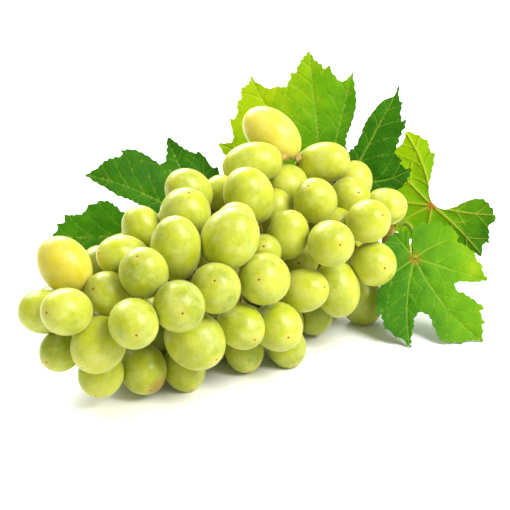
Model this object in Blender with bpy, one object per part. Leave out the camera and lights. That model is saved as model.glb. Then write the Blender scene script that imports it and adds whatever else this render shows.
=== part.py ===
"""A bunch of white table grapes lying on its side, with its stems, five leaves and a stub of cane.

The bunch points its tip to -X and its stem end to +X and lies on the plane z = 0.
All lengths in the tables are millimetres; everything is built in metres.
"""
import math

import bmesh
import bpy
from mathutils import Matrix, Vector, geometry

MM = 0.001
FRONT = Vector((0.0, -0.93, 0.37)).normalized()     # the way the bunch's shown face looks

# ---- driving dimensions, in millimetres ----
CLEARANCE = 0.35          # space kept between two berries
STEM_CLEARANCE = 0.6      # space kept between a stem and a berry it passes
JOIN_DEPTH = 2.2          # how deep neighbours in a joined row of berries press into each other
SPRING_ACROSS = 0.06      # how strongly a single berry keeps to its drawn place while settling
SPRING_DEPTH = 0.006      # the same towards and away from the front
ROW_SPRING = 0.01         # the same for the joined rows, which give way to the single berries
GIVE_ACROSS = 0.3         # how much a single berry gives way when pushed across the front
GIVE_DEPTH = 1.5          # the same towards and away from the front
ROW_GIVE = 3.0
FIRMNESS = 0.95           # berries press flat where they touch, so each solid is this much slimmer
SETTLE_ROUNDS = 600
FINISH_ROUNDS = 200
EASE_ROUNDS = 160
EASE_STEP = 0.35
PEDICEL_RADIUS = 0.85
RECEPTACLE_RADIUS = 1.25
AXIS_RADIUS_STEM_END = 2.1
AXIS_RADIUS_TIP = 1.0
STEM_SIDES = 5
NECK_LENGTH = 2.6         # the straight bit of stalk next to each berry
STALK_STEPS = 8           # how finely a berry's stalk bends round the other berries
BERRY_REACH = 22.0        # no berry reaches further than this from its centre, stalk included
LEAF_THICKNESS = 0.8

# ---- berries ----
# name, centre x y z, width, length, and the way the blossom end points
SINGLE_BERRIES = [
    # the tip of the bunch
    ("tip_gold", -81, -52, 61, 22, 27, (-4, 1, 5)),
    ("tip_end", -90, -60, 43, 19, 22, (-6, -1, 1)),
    ("tip_front", -78, -73, 49, 20, 24, (-4, -5, 2)),
    ("tip_low_left", -83, -66, 28, 18, 21, (-3, -5, -1)),
    ("tip_low", -66, -76, 35, 23, 26, (-5, -7, -5)),
    # the row that rests on the table
    ("rest_1", -66, -54, 12, 20, 22, (-1, -5, -4)),
    ("rest_2", -49, -51, 12, 21, 24, (2, -5, -3)),
    ("rest_3", -32, -50, 10, 19, 22, (2, -4, -4)),
    ("rest_4", -5, -27, 10, 18, 22, (1, -4, -4)),
    ("rest_5", 14, -24, 9, 18, 22, (2, -4, -4)),
    # the front, from the tip to the stem end
    ("front_1", -63, -58, 51, 20, 22, (-3, -4, 3)),
    ("front_2", -50, -73, 44, 21, 24, (1, -6, 0)),
    ("front_3", -32, -64, 48, 22, 25, (1, -6, 1)),
    ("front_4", -26, -56, 28, 25, 29, (4, -4, -2)),
    ("front_5", -17, -54, 52, 22, 24, (0, -5, 4)),
    ("front_6", -6, -41, 28, 20, 24, (3, -5, -1)),
    ("front_7", 4, -38, 49, 23, 26, (-1, -5, 2)),
    ("front_8", 10, -31, 23, 22, 25, (2, -5, 0)),
    ("front_9", 22, -18, 35, 20, 25, (4, -3, 2)),
    ("front_10", 38, -2, 29, 21, 27, (1, -3, -5)),
    ("front_11", 34, -16, 57, 21, 24, (2, -6, 2)),
    ("front_12", 55, 4, 39, 21, 24, (2, -5, 1)),
    # the upper face
    ("upper_1", -57, -42, 61, 19, 25, (-5, -3, 2)),
    ("upper_2", -47, -58, 60, 21, 24, (-1, -3, 5)),
    ("upper_3", -50, -20, 66, 18, 21, (-2, 0, 5)),
    ("upper_4", -34, -44, 66, 22, 30, (0, -1, 6)),
    ("upper_5", -31, -20, 72, 23, 26, (1, -2, 6)),
    ("upper_6", -30, 0, 76, 20, 24, (-4, -2, 4)),
    ("upper_7", -15, 8, 71, 18, 21, (-1, 0, 6)),
    ("upper_8", -3, -4, 75, 23, 28, (-2, -1, 6)),
    ("upper_9", -11, -34, 66, 25, 29, (3, 0, 5)),
    ("upper_10", -9, -14, 65, 19, 22, (2, 2, 5)),
    ("upper_11", 15, -8, 58, 19, 24, (1, -1, 6)),
    ("upper_12", 28, 10, 68, 20, 23, (-2, -3, 5)),
    ("upper_13", 15, 24, 71, 20, 22, (-2, -5, 0)),
    ("upper_14", 45, 26, 64, 19, 22, (2, -5, 3)),
    ("upper_15", 52, 12, 57, 20, 23, (3, -4, 3)),
    # the top and the stem end
    ("top_gold", 8, 42, 90, 22, 32, (-4, 2, 3)),
    ("top_long", -1, 34, 77, 20, 29, (-6, -1, -1)),
    ("top_right", 32, 40, 76, 20, 28, (5, -2, 2)),
    ("top_back", 48, 50, 63, 18, 21, (1, 1, 6)),
    ("end_right", 62, 32, 57, 18, 22, (5, -3, 1)),
    ("end_inner", 46, 25, 34, 16, 18, (5, -2, 1)),
    # berries seen between their neighbours
    ("between_1", 9, 14, 62, 18, 21, (0, -1, 6)),
    ("between_2", 4, -16, 53, 16, 18, (0, -5, 4)),
    ("between_3", 20, 2, 41, 19, 21, (0, -6, 2)),
    ("between_4", -10, -12, 41, 18, 20, (0, -6, 3)),
    ("between_5", -48, -44, 39, 18, 20, (-1, -6, 1)),
    ("between_6", 39, 19, 53, 16, 18, (-2, -5, 3)),
]

# rows of berries under and behind the bunch, each row joined where its berries press together:
# the number of berries and the points that the row's middle line passes through
JOINED_ROWS = {
    "berries_under": (8, [(-46, -38, 14), (-12, -12, 10), (30, 9, 12), (36, 24, 18), (52, 25, 11)]),
    "berries_back_low": (8, [(-72, -30, 16), (-44, -8, 12), (2, 25, 12), (34, 48, 13)]),
    "berries_back_middle": (11, [(-86, -40, 37), (-62, -14, 34), (-4, 31, 36), (34, 50, 35), (49, 46, 31)]),
    "berries_back_top": (9, [(-67, -28, 47), (-48, 2, 50), (-4, 38, 57), (30, 51, 55)]),
}
ROW_WIDTHS = [20, 21, 19]         # the widths of a row's berries, over and over
ROW_EXTRA_LENGTH = 3

# the stem's main axis, from the cane to the tip of the bunch
MAIN_AXIS = [(60.9, 39.7, 42.4), (54, 42, 43), (44, 34, 44), (24, 20, 44), (4, 8, 42), (-16, -8, 40),
             (-36, -22, 38), (-54, -36, 36), (-68, -46, 36)]

SKIN_COLOUR = (0.56, 0.60, 0.12, 1.0)
GOLD_COLOUR = (0.66, 0.58, 0.11, 1.0)
SHADE_COLOUR = (0.36, 0.42, 0.05, 1.0)
STEM_COLOUR = (0.42, 0.36, 0.10, 1.0)
CANE_COLOUR = (0.45, 0.27, 0.10, 1.0)
LEAF_COLOUR = (0.13, 0.34, 0.02, 1.0)
LEAF_UNDERSIDE_COLOUR = (0.24, 0.42, 0.06, 1.0)


class Berry:
    """An egg-round grape: a centre, a width, a length and the way its blossom end points."""

    def __init__(self, name, centre, width, length, points, row=None, place=0):
        self.name = name
        self.centre = Vector(centre)
        self.home = Vector(centre)
        self.half_width = FIRMNESS * width / 2
        self.half_length = FIRMNESS * length / 2
        self.points = Vector(points).normalized()
        self.row = row
        self.place = place
        self.give_across = ROW_GIVE if row else GIVE_ACROSS
        self.give_depth = ROW_GIVE if row else GIVE_DEPTH
        self.spring_across = ROW_SPRING if row else SPRING_ACROSS
        self.spring_depth = ROW_SPRING if row else SPRING_DEPTH

    def reach(self, way):
        """How far the berry reaches along a unit vector from its centre."""
        along = self.points.dot(way) ** 2
        return math.sqrt(self.half_width ** 2 * (1 - along) + self.half_length ** 2 * along)

    def give(self, way):
        """How readily the berry gives way along a unit vector."""
        deep = way.dot(FRONT) ** 2
        return self.give_depth * deep + self.give_across * (1 - deep)

    def yield_to(self, push):
        """The move that a push makes: mostly in depth, little across the front."""
        deep = FRONT * push.dot(FRONT)
        return deep * self.give_depth + (push - deep) * self.give_across

    def pull_home(self):
        offset = self.home - self.centre
        deep = FRONT * offset.dot(FRONT)
        self.centre += deep * self.spring_depth + (offset - deep) * self.spring_across

    def push_out(self, point, margin):
        """Move a point out of the berry and a margin around it."""
        offset = point - self.centre
        along = offset.dot(self.points)
        across = offset - self.points * along
        wide = self.half_width + margin
        long = self.half_length + margin
        depth = math.sqrt((along / long) ** 2 + across.length_squared / wide ** 2)
        if depth >= 1.0 or depth < 1e-6:
            return point
        return self.centre + offset / depth

    def stem_end(self, gap):
        return self.centre - self.points * (self.half_length + gap)


def spaced_along(corners, count):
    """So many points at even distances along a line through the corners."""
    corners = [Vector(c) for c in corners]
    lengths = [(b - a).length for a, b in zip(corners, corners[1:])]
    found = []
    for k in range(count):
        ahead = sum(lengths) * k / (count - 1)
        leg = 0
        while leg < len(lengths) - 1 and ahead > lengths[leg]:
            ahead -= lengths[leg]
            leg += 1
        found.append(corners[leg].lerp(corners[leg + 1], ahead / lengths[leg]))
    return found


def away_from_axis(point):
    """The way from the nearest part of the stem's main axis to a point."""
    corners = [Vector(c) for c in MAIN_AXIS]
    nearest = []
    for a, b in zip(corners, corners[1:]):
        foot, share = geometry.intersect_point_line(point, a, b)
        nearest.append(foot if 0 < share < 1 else a)
    nearest.append(corners[-1])
    return point - min(nearest, key=lambda p: (p - point).length)


def make_berries():
    berries = []
    for name, x, y, z, width, length, points in SINGLE_BERRIES:
        berries.append(Berry(name, (x, y, z), width, length, points))
    for row, (count, corners) in JOINED_ROWS.items():
        for place, centre in enumerate(spaced_along(corners, count)):
            width = ROW_WIDTHS[place % len(ROW_WIDTHS)]
            points = away_from_axis(centre)
            berries.append(Berry(row, centre, width, width + ROW_EXTRA_LENGTH, points, row, place))
    return berries


def are_row_mates(first, second):
    return first.row is not None and first.row == second.row and abs(first.place - second.place) == 1


def part_pair(first, second):
    """Push two berries apart until they just clear, or draw row mates together until they join."""
    offset = second.centre - first.centre
    distance = offset.length
    way = offset / distance
    touching = first.reach(way) + second.reach(way)
    if are_row_mates(first, second):
        excess = touching - JOIN_DEPTH - distance
    else:
        excess = max(0.0, touching + CLEARANCE - distance)
    if excess:
        push = way * excess / (first.give(way) + second.give(way))
        first.centre -= first.yield_to(push)
        second.centre += second.yield_to(push)


def keep_on_table(berry):
    lowest = berry.reach(Vector((0, 0, -1)))
    berry.centre.z = max(berry.centre.z, lowest)


def settle(berries):
    """Let the berries give way to each other around their drawn places."""
    count = len(berries)
    near = 2 * BERRY_REACH
    pairs = [(i, j) for i in range(count) for j in range(i + 1, count)
             if (berries[i].centre - berries[j].centre).length < near]
    for turn in range(SETTLE_ROUNDS + FINISH_ROUNDS):
        for i, j in pairs:
            part_pair(berries[i], berries[j])
        for berry in berries:
            if turn < SETTLE_ROUNDS:
                berry.pull_home()
            keep_on_table(berry)


def ease_path(path, berries, margin, straight=0):
    """Smooth a path between its fixed ends while keeping it clear of the berries.

    The first few points can be held straight, and are then only pushed off the berries.
    """
    for _ in range(EASE_ROUNDS):
        for i in range(1, len(path) - 1):
            middle = (path[i - 1] + path[i + 1]) * 0.5
            if i > straight:
                path[i] = path[i].lerp(middle, EASE_STEP)
            for berry in berries:
                if (path[i] - berry.centre).length < BERRY_REACH:
                    path[i] = berry.push_out(path[i], margin)
    return path


def ring_frame(path, i):
    """The direction along a path at one of its points."""
    before = path[max(i - 1, 0)]
    after = path[min(i + 1, len(path) - 1)]
    return (after - before).normalized()


def tube_mesh(name, path, radii, sides):
    """A closed tube in metres along a path in millimetres."""
    bm = bmesh.new()
    side = ring_frame(path, 0).orthogonal().normalized()
    rings = []
    for i, point in enumerate(path):
        along = ring_frame(path, i)
        side = (side - along * side.dot(along)).normalized()
        other = along.cross(side)
        ring = []
        for k in range(sides):
            angle = math.tau * k / sides
            spoke = side * math.cos(angle) + other * math.sin(angle)
            ring.append(bm.verts.new((point + spoke * radii[i]) * MM))
        rings.append(ring)
    for near, far in zip(rings, rings[1:]):
        for k in range(sides):
            nxt = (k + 1) % sides
            bm.faces.new((near[k], near[nxt], far[nxt], far[k]))
    bm.faces.new(list(reversed(rings[0])))
    bm.faces.new(rings[-1])
    bmesh.ops.recalc_face_normals(bm, faces=bm.faces)
    mesh = bpy.data.meshes.new(name)
    bm.to_mesh(mesh)
    bm.free()
    return mesh


def main_axis_path(berries):
    path = [Vector(p) for p in MAIN_AXIS]
    dense = []
    for start, end in zip(path, path[1:]):
        dense += [start.lerp(end, k / 3) for k in range(3)]
    dense.append(path[-1])
    return ease_path(dense, berries, AXIS_RADIUS_STEM_END + STEM_CLEARANCE)


def axis_radii(path):
    last = len(path) - 1
    return [AXIS_RADIUS_STEM_END + (AXIS_RADIUS_TIP - AXIS_RADIUS_STEM_END) * i / last
            for i in range(len(path))]


def grow_pedicels(berries, axis):
    """A stalk from every berry to the nearest stem already grown, so that stalks branch."""
    attach_points = list(axis[2:])
    stalks = []
    order = sorted(berries, key=lambda b: min((b.stem_end(0) - p).length for p in axis))
    for berry in order:
        start = berry.stem_end(STEM_CLEARANCE)
        neck = berry.stem_end(STEM_CLEARANCE + NECK_LENGTH)
        target = min(attach_points, key=lambda p: (p - neck).length)
        middle = [neck.lerp(target, k / STALK_STEPS) for k in range(STALK_STEPS)]
        margin = PEDICEL_RADIUS + STEM_CLEARANCE
        path = ease_path([start] + middle + [target], berries, margin, straight=1)
        stalks.append(path)
        attach_points += path[2:-1]
    return stalks


def one_body(name, meshes):
    """Join overlapping closed meshes into one closed body with an exact union."""
    pieces = [bpy.data.objects.new(name + "_piece", mesh) for mesh in meshes]
    joined = pieces[0]
    others = bpy.data.collections.new(name + "_pieces")
    bpy.context.scene.collection.objects.link(joined)
    bpy.context.scene.collection.children.link(others)
    for piece in pieces[1:]:
        others.objects.link(piece)
    union = joined.modifiers.new("union", "BOOLEAN")
    union.operation = "UNION"
    union.operand_type = "COLLECTION"
    union.collection = others
    union.solver = "EXACT"
    depsgraph = bpy.context.evaluated_depsgraph_get()
    mesh = bpy.data.meshes.new_from_object(joined.evaluated_get(depsgraph))
    mesh.name = name
    for piece in pieces:
        bpy.data.objects.remove(piece)
    bpy.data.collections.remove(others)
    return mesh


def berry_mesh(name, berry):
    """An egg-round ball of triangles whose corners lie on the berry's skin."""
    bm = bmesh.new()
    bmesh.ops.create_icosphere(bm, subdivisions=2, radius=1.0)
    turn = Vector((0, 0, 1)).rotation_difference(berry.points).to_matrix().to_4x4()
    size = Matrix.Diagonal((berry.half_width, berry.half_width, berry.half_length, 1))
    bmesh.ops.transform(bm, matrix=turn @ size, verts=bm.verts)
    bmesh.ops.scale(bm, vec=(MM, MM, MM), verts=bm.verts)
    mesh = bpy.data.meshes.new(name)
    bm.to_mesh(mesh)
    bm.free()
    return mesh


def moved(mesh, offset):
    mesh.transform(Matrix.Translation(offset * MM))
    return mesh


def pedicel_radii(count):
    """Swollen where the berry sits, thin along the stalk, a little thicker where it branches off."""
    radii = [PEDICEL_RADIUS] * count
    radii[0] = RECEPTACLE_RADIUS
    radii[1] = PEDICEL_RADIUS * 0.95
    radii[-1] = PEDICEL_RADIUS * 1.1
    return radii


def make_stems(berries):
    """The main axis and every pedicel as one branching body."""
    axis = main_axis_path(berries)
    meshes = [tube_mesh("axis", axis, axis_radii(axis), STEM_SIDES + 1)]
    for path in grow_pedicels(berries, axis):
        meshes.append(tube_mesh("pedicel", path, pedicel_radii(len(path)), STEM_SIDES))
    return one_body("rachis", meshes)


# ---- leaves ----
# Each outline is drawn as the leaf lies, in millimetres from the point where its stalk joins:
# x runs across to the right and y up the blade. "faces" is the way its shown side looks.
LEAVES = {
    "leaf_left": {
        "joint": (-22, 40, 40),
        "faces": (0.40, -0.84, 0.36),
        "cup": 0.0016,
        "outline": [
            # left side lobe
            (-44, -11), (-61, -4), (-69, 3), (-76, 10), (-72, 13), (-72, 16), (-68, 16), (-68, 20),
            (-64, 19), (-58, 19), (-57, 22), (-49, 24), (-45, 22), (-40, 15), (-26, 12),
            # middle lobe
            (-34, 21), (-42, 25), (-47, 30), (-51, 33), (-55, 37), (-49, 39), (-44, 43), (-35, 43),
            (-36, 46), (-30, 46), (-24, 42), (-20, 38), (-17, 36),
            # right side lobe
            (-14, 39), (-12, 49), (-9, 47), (-6, 43), (0, 39), (2, 40), (5, 37), (7, 31), (10, 31),
            (11, 26), (8, 20),
            # base, on both sides of the stalk
            (12, 14), (18, 8), (12, 3), (14, -2), (4, -2), (1, -3), (-2, -12), (-8, -20), (-15, -17),
            (-22, -21), (-30, -14),
        ],
        "stalk": [(-21.5, 39.5, 38.5), (-17, 45, 36), (-8, 55, 32), (8, 67, 28), (28, 75, 28),
                  (46, 70, 28), (58, 57, 29), (63.1, 45.3, 29)],
    },
    "leaf_back": {
        "joint": (34, 68, 52),
        "faces": (0.05, -0.97, 0.22),
        "cup": 0.0012,
        "outline": [
            # left side lobe
            (-48, 17), (-52, 24), (-45, 24), (-44, 27), (-46, 36), (-42, 36), (-42, 45), (-40, 45),
            (-40, 51), (-36, 53), (-35, 57), (-33, 54), (-26, 50), (-23, 52), (-19, 51),
            # top lobe
            (-17, 52), (-15, 58), (-13, 58), (-11, 63), (-9, 66), (-6, 69), (-5, 66), (-2, 63),
            (0, 62), (1, 59), (3, 62), (5, 58),
            # right side lobe
            (9, 53), (13, 55), (15, 58), (16, 52), (17, 44), (16, 39), (14, 32), (11, 26), (12, 16),
            # base
            (16, 10), (12, 0), (6, -5), (2, -1), (-2, -2), (-8, -9), (-18, -6), (-26, -9), (-34, 0),
            (-42, 4), (-41, 12),
        ],
        "stalk": [(34, 67.8, 50), (37, 71, 48), (44, 73, 46), (53, 67, 42), (57, 57, 40),
                  (61, 49, 38.5), (64.3, 44.3, 37.2)],
    },
    "leaf_upper_right": {
        "joint": (47, 65, 59),
        "faces": (-0.05, -0.96, 0.28),
        "cup": 0.0010,
        "outline": [
            # top lobe
            (-2, 13), (1, 15), (3, 17), (5, 22), (6, 26), (8, 30), (11, 34), (14, 38), (17, 40),
            (21, 41), (22, 44), (23, 47), (23, 39), (25, 38), (24, 35), (24, 29), (27, 29), (26, 26),
            (24, 22), (23, 18), (21, 13), (25, 10), (24, 7),
            # lower right lobe
            (30, 5), (28, 0), (25, -4), (19, -7), (12, -10), (6, -7),
            # base
            (1, -3), (-3, -8), (-10, -6), (-9, 2), (-5, 8),
        ],
        "stalk": [(47, 64.6, 57), (50, 68, 56), (56, 67, 52), (60, 57, 47), (62, 49, 43.5),
                  (65.3, 42.8, 42)],
    },
    "leaf_right": {
        "joint": (88, 66, 45),
        "faces": (-0.16, -0.93, 0.33),
        "cup": 0.0010,
        "outline": [
            # upper lobe
            (-15, 36), (-10, 35), (-7, 33), (-4, 32), (-3, 27), (0, 25), (-1, 18), (-2, 11), (-2, 6),
            (0, 1),
            # right lobe
            (5, -2), (10, -1), (15, 2), (19, 4), (25, 5), (29, 1), (30, -1), (32, -5), (28, -9),
            (29, -12), (29, -17), (26, -17), (26, -24),
            # lower lobes, behind the front leaf
            (18, -20), (12, -22), (7, -19), (1, -21), (-5, -17), (-12, -18), (-16, -14), (-22, -12),
            (-20, -7), (-24, -2), (-21, 5), (-24, 12), (-20, 18), (-21, 26), (-16, 30),
        ],
        "stalk": [(86, 65.8, 44), (87.5, 69, 41), (84, 71, 31), (77, 63, 22), (68.3, 45.7, 24.6)],
    },
    "leaf_front": {
        "joint": (76, 22, 34.5),
        "faces": (0.137, -0.779, 0.611),
        "cup": 0.0,
        "outline": [
            # upper right base lobe
            (0, 3), (-1, 8), (1, 14), (4, 16), (6, 18), (8, 16), (11, 16), (14, 17), (16, 15),
            (19, 15), (20, 13), (23, 10), (21, 7),
            # right side lobe
            (25, 5), (28, 2), (30, -1), (29, -2), (33, -7), (31, -8), (34, -13), (28, -14), (22, -13),
            (18, -13), (17, -15), (17, -17),
            # middle lobe, its tip low on the right
            (21, -19), (25, -22), (30, -27), (27, -28), (29, -34), (27, -35), (28, -38), (27, -39),
            (27, -43), (21, -41), (17, -43), (14, -42), (10, -42), (7, -41), (5, -36), (4, -30),
            (3, -28), (0, -26),
            # left side lobe
            (-3, -27), (-5, -30), (-5, -33), (-7, -37), (-8, -43), (-10, -40), (-13, -37), (-14, -38),
            (-17, -33), (-19, -33), (-19, -28), (-20, -25), (-22, -26), (-21, -19), (-17, -9),
            # upper left base lobe
            (-16, 0), (-14, 8), (-11, 11), (-9, 13), (-5, 13), (-2, 14), (-1.6, 8), (-2, 3),
        ],
        "stalk": [(75.8, 22.5, 33.6), (76, 26.5, 37), (76.3, 30.5, 41), (75, 34.5, 45),
                  (72.5, 36.8, 46.6), (69, 37.5, 45.6)],
    },
}
LEAF_GRID = 9.0
STALK_RADIUS = 1.3
STALK_SIDES = 6

# the stub of cane that the bunch and the leaves grow from
CANE_PATH = [(65, 38, 45), (64.5, 40.5, 37), (65, 42, 29), (66.5, 43, 21)]
CANE_RADII = [3.0, 3.1, 3.1, 3.3]
CANE_SIDES = 9


def leaf_axes(leaf):
    """The leaf's own directions: across to the right, up the blade, and out of its shown side."""
    out = Vector(leaf["faces"]).normalized()
    across = Vector((0, 0, 1)).cross(out).normalized()
    return across, out.cross(across), out


def is_inside(x, y, outline):
    """Whether a point lies inside the outline, by counting the edges to its right."""
    inside = False
    for (ax, ay), (bx, by) in zip(outline, outline[1:] + outline[:1]):
        if (ay > y) != (by > y) and x < ax + (y - ay) * (bx - ax) / (by - ay):
            inside = not inside
    return inside


def grid_points(outline):
    """Points inside the outline that let the flat blade bend."""
    xs = [x for x, _ in outline]
    ys = [y for _, y in outline]
    found = []
    for i in range(int(min(xs) / LEAF_GRID) - 1, int(max(xs) / LEAF_GRID) + 2):
        for j in range(int(min(ys) / LEAF_GRID) - 1, int(max(ys) / LEAF_GRID) + 2):
            x, y = i * LEAF_GRID, (j + 0.5 * (i % 2)) * LEAF_GRID
            clear = min(math.hypot(x - px, y - py) for px, py in outline)
            if clear > LEAF_GRID * 0.3 and is_inside(x, y, outline):
                found.append((x, y))
    return found


def blade_mesh(name, leaf):
    """The blade: a thin closed solid on a gently cupped surface."""
    outline = leaf["outline"]
    flat = [Vector(p) for p in outline + grid_points(outline)]
    count = len(outline)
    rim = [(i, (i + 1) % count) for i in range(count)]
    points, _, triangles, _, _, _ = geometry.delaunay_2d_cdt(flat, rim, [], 1, 1e-5)
    across, up, out = leaf_axes(leaf)
    joint = Vector(leaf["joint"])
    bm = bmesh.new()
    layers = []
    for half in (0.5, -0.5):
        layer = []
        for x, y in points:
            sag = -leaf["cup"] * (x * x + y * y) + half * LEAF_THICKNESS
            layer.append(bm.verts.new((joint + across * x + up * y + out * sag) * MM))
        layers.append(layer)
    top, bottom = layers
    for a, b, c in triangles:
        bm.faces.new((top[a], top[b], top[c]))
        bm.faces.new((bottom[c], bottom[b], bottom[a]))
    bm.edges.ensure_lookup_table()
    open_edges = [e for e in bm.edges if e.is_boundary]
    bmesh.ops.bridge_loops(bm, edges=open_edges)
    bmesh.ops.recalc_face_normals(bm, faces=bm.faces)
    mesh = bpy.data.meshes.new(name)
    bm.to_mesh(mesh)
    bm.free()
    return mesh


def make_leaf(name, leaf):
    """A blade and its stalk as one body."""
    stalk = [Vector(p) for p in leaf["stalk"]]
    radii = [STALK_RADIUS * 0.8] + [STALK_RADIUS] * (len(stalk) - 2) + [STALK_RADIUS * 1.2]
    return one_body(name, [blade_mesh(name, leaf), tube_mesh(name, stalk, radii, STALK_SIDES)])


def plain_material(name, colour, roughness):
    material = bpy.data.materials.new(name)
    material.use_nodes = True
    shader = material.node_tree.nodes["Principled BSDF"]
    shader.inputs["Base Color"].default_value = colour
    shader.inputs["Roughness"].default_value = roughness
    shader.inputs["Metallic"].default_value = 0.0
    return material


def place_node(name, mesh, material, origin, bunch):
    """Put a mesh in the scene under its own name, with its origin at a point of its own."""
    origin = Vector(origin) * MM
    mesh.transform(Matrix.Translation(-origin))
    mesh.name = name
    mesh.materials.clear()
    mesh.materials.append(material)
    mesh.shade_smooth()
    mesh.set_sharp_from_angle(angle=math.radians(50))
    node = bpy.data.objects.new(name, mesh)
    node.location = origin
    node.parent = bunch
    bpy.context.scene.collection.objects.link(node)
    return node


def place_berries(berries, bunch):
    for berry in berries:
        if berry.row:
            continue
        name = "berry_" + berry.name
        colour = GOLD_COLOUR if "gold" in name else SKIN_COLOUR
        material = plain_material(name, colour, 0.35)
        place_node(name, moved(berry_mesh(name, berry), berry.centre), material, berry.centre, bunch)
    for row in JOINED_ROWS:
        mates = [berry for berry in berries if berry.row == row]
        mesh = one_body(row, [moved(berry_mesh(row, berry), berry.centre) for berry in mates])
        place_node(row, mesh, plain_material(row, SHADE_COLOUR, 0.4), mates[0].centre, bunch)


def place_leaves(bunch):
    for name, leaf in LEAVES.items():
        colour = LEAF_UNDERSIDE_COLOUR if name == "leaf_right" else LEAF_COLOUR
        place_node(name, make_leaf(name, leaf), plain_material(name, colour, 0.5), leaf["joint"], bunch)


def place_cane(bunch):
    path = [Vector(p) for p in CANE_PATH]
    mesh = tube_mesh("cane", path, CANE_RADII, CANE_SIDES)
    place_node("cane", mesh, plain_material("cane", CANE_COLOUR, 0.7), path[0], bunch)


def stand_on_origin(bunch):
    """Slide the whole bunch so that the middle of its underside is the origin."""
    bpy.context.view_layer.update()
    corners = [node.matrix_world @ vertex.co for node in bunch.children for vertex in node.data.vertices]
    low = Vector(min(c[k] for c in corners) for k in range(3))
    high = Vector(max(c[k] for c in corners) for k in range(3))
    bunch.location = (-(low.x + high.x) / 2, -(low.y + high.y) / 2, -low.z)
    bpy.context.view_layer.update()


def clear_scene():
    for item in list(bpy.data.objects):
        bpy.data.objects.remove(item)


def main():
    clear_scene()
    bunch = bpy.data.objects.new("bunch", None)
    bpy.context.scene.collection.objects.link(bunch)
    berries = make_berries()
    settle(berries)
    place_berries(berries, bunch)
    place_node("rachis", make_stems(berries), plain_material("rachis", STEM_COLOUR, 0.6),
               MAIN_AXIS[0], bunch)
    place_leaves(bunch)
    place_cane(bunch)
    stand_on_origin(bunch)


main()
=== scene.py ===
"""A bunch of white table grapes with its leaves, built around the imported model.

Berries, stems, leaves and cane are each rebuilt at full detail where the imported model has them.
Lengths in the tables are millimetres in the bunch's own layout; Blender works in metres.
"""
import math
import random

import bmesh
import bpy
import numpy as np
from mathutils import Matrix, Vector, geometry, noise


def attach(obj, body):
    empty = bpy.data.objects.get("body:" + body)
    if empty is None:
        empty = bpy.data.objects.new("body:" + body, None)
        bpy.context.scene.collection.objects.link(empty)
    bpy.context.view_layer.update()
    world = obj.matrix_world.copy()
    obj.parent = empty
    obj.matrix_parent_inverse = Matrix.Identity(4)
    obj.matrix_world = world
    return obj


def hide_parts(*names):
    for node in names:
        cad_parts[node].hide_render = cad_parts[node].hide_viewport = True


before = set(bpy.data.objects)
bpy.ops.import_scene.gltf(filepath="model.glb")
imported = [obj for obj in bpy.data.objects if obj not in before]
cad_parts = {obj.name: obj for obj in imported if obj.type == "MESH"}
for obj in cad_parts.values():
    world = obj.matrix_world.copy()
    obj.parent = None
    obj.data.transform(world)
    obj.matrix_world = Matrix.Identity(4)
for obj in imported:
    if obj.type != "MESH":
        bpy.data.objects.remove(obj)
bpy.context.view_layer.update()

MM = 0.001
CANE_TOP = Vector((65, 38, 45))   # the middle of the cane's top, in the layout
CANE_SIDES = 9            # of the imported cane

# ---- camera ----
CAMERA_TARGET = (0, 0, 45)
CAMERA_DISTANCE = 750
CAMERA_ELEVATION = 22
CAMERA_LENS = 115.06      # millimetres, on a sensor 36 mm wide

# ---- berries ----
TABLE_GAP = 0.00005       # metres
SOLID_SHARE = 0.95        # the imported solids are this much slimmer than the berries, which press flat
SEGMENTS = 44             # round the berry
CONTACT_SOFTNESS = 0.005  # how softly a pressed face turns into the free skin, in radii
CONTACT_GAP = 0.002       # left between two pressed faces, in radii
FRONT = (0.0, -0.93, 0.37)        # the way the bunch's shown face looks
YIELD_DEPTH = 5.0         # a berry this many millimetres ahead of the one it presses is much the firmer
MOST_FIRMNESS = 1.4       # the natural logarithm of how much firmer it can be
LEAST_REACH = 0.55        # the skin lies between these shares of the way to the free skin
MOST_REACH = 1.12
HALVINGS = 18             # of that range, to find where two berries meet
CREASE_ANGLE = -0.15      # in radians: sharper hollows part two joined berries
FEWEST_CORNERS = 12       # that a berry is fitted to
SCAR_RADIUS = 0.42
DIMPLE_DEPTHS = (0.22, 0.5)       # at the blossom end and at the stalk, with their radii below
DIMPLE_RADII = (1.3, 1.9)
NUB_HEIGHT = 0.2          # of the scar in its dimple
NUB_RADIUS = 0.42
LUMPS = 0.012             # how far a berry strays from a perfect egg, in radii
LUMP_SCALE = 1.1
# the side on which a berry has a brown patch
BRUISES = {"berry_rest_2": (0.7, -0.6, -0.45), "berry_rest_3": (0.85, -0.5, 0.1)}

# ---- stems ----
STEM_VOXEL = 0.38
COLLAR_RADIUS = 2.0
CANE_LINE_DEPTH = 0.0045  # metres below the cane's top

# ---- leaves ----
LEAF_THICKNESS = 0.35
SOLID_LEAF_THICKNESS = 0.8
LEAF_GRID = 1.3
STALK_RADIUS = 1.25


def paint(red, green, blue):
    """A colour as Blender wants it, from 0 to 255 as a screen shows it."""
    def linear(level):
        share = level / 255
        return share / 12.92 if share <= 0.04045 else ((share + 0.055) / 1.055) ** 2.4
    return (linear(red), linear(green), linear(blue), 1.0)


def welded(node):
    """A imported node's mesh with its split corners joined again."""
    bm = bmesh.new()
    bm.from_mesh(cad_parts[node].data)
    bmesh.ops.remove_doubles(bm, verts=bm.verts, dist=1e-6)
    bm.verts.ensure_lookup_table()
    bm.faces.ensure_lookup_table()
    return bm


def cane_rings():
    """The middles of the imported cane's rings of corners, from the top down."""
    bm = welded("cane")
    corners = sorted((v.co.copy() for v in bm.verts), key=lambda p: -p.z)
    bm.free()
    rings = [corners[i:i + CANE_SIDES] for i in range(0, len(corners), CANE_SIDES)]
    return [sum(ring, Vector()) / CANE_SIDES for ring in rings]


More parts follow.
